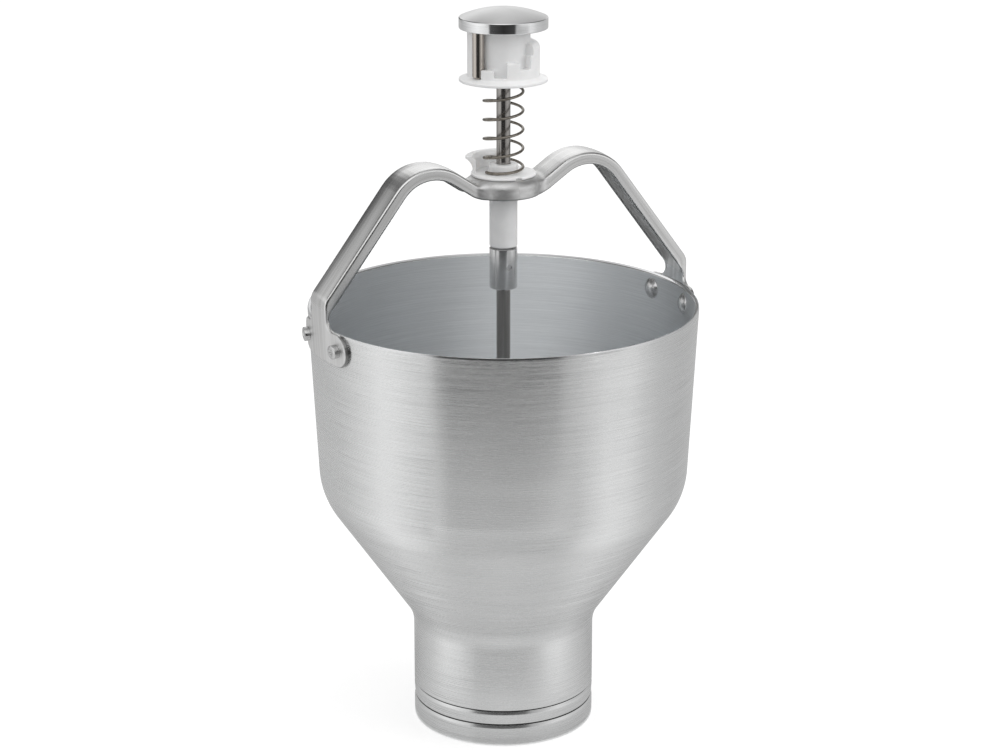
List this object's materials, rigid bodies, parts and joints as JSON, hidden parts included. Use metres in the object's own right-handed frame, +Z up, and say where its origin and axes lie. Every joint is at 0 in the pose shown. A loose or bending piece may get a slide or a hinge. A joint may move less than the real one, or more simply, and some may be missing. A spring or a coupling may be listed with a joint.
{
  "type": "batter dispenser",
  "caption": "Hand-held batter dispenser: a spun metal hopper with a bail handle and a spring-return plunger whose notched dial sets the portion.",
  "frame": {"origin": "centre of the hopper's foot, on the plane it stands on", "axes": "+Z up along the plunger, X along the handle, Y across it"},
  "size_m": [0.185, 0.1784, 0.3371],
  "materials": {
    "spun_aluminium": "fine circular brushing",
    "cast_aluminium": "satin casting, machined bore",
    "pressed_steel": "bright pressed sheet, tumbled",
    "rivet_steel": "bright",
    "polished_steel": "polished",
    "spring_steel": "drawn wire",
    "white_plastic": "satin",
    "hardware_steel": "plain"
  },
  "bodies": {
    "frame": {"hopper": "spun_aluminium", "nozzle_cylinder": "cast_aluminium", "handle": "pressed_steel", "handle_rivets": "rivet_steel", "guide_bush": "white_plastic", "return_spring": "spring_steel"},
    "plunger": {"upper_rod": "polished_steel", "rod_collar": "polished_steel", "collar_pin": "hardware_steel", "lower_rod": "polished_steel", "piston": "white_plastic", "piston_pin": "hardware_steel", "cutter_disc": "cast_aluminium", "cutter_washer": "hardware_steel", "cutter_nut": "hardware_steel"},
    "head": {"knob": "polished_steel", "index_pin": "polished_steel"},
    "dial": {"portion_dial": "white_plastic"}
  },
  "joints": [
    {"name": "plunger_press", "type": "slide", "parent": "frame", "child": "plunger", "axis": [0, 0, 1], "range_m": [-0.029, 0], "stiffness_N_per_m": 860, "springref_m": 0.012, "deforming": ["return_spring"]},
    {"name": "knob_turn", "type": "hinge", "parent": "plunger", "child": "head", "pos_m": [0, 0, 0.33], "axis": [0, 0, 1], "continuous": true},
    {"name": "dial_drop", "type": "slide", "parent": "head", "child": "dial", "axis": [0, 0, 1], "range_m": [-0.0049, 0], "stiffness_N_per_m": 860, "springref_m": 0.012, "deforming": ["return_spring"]}
  ]
}
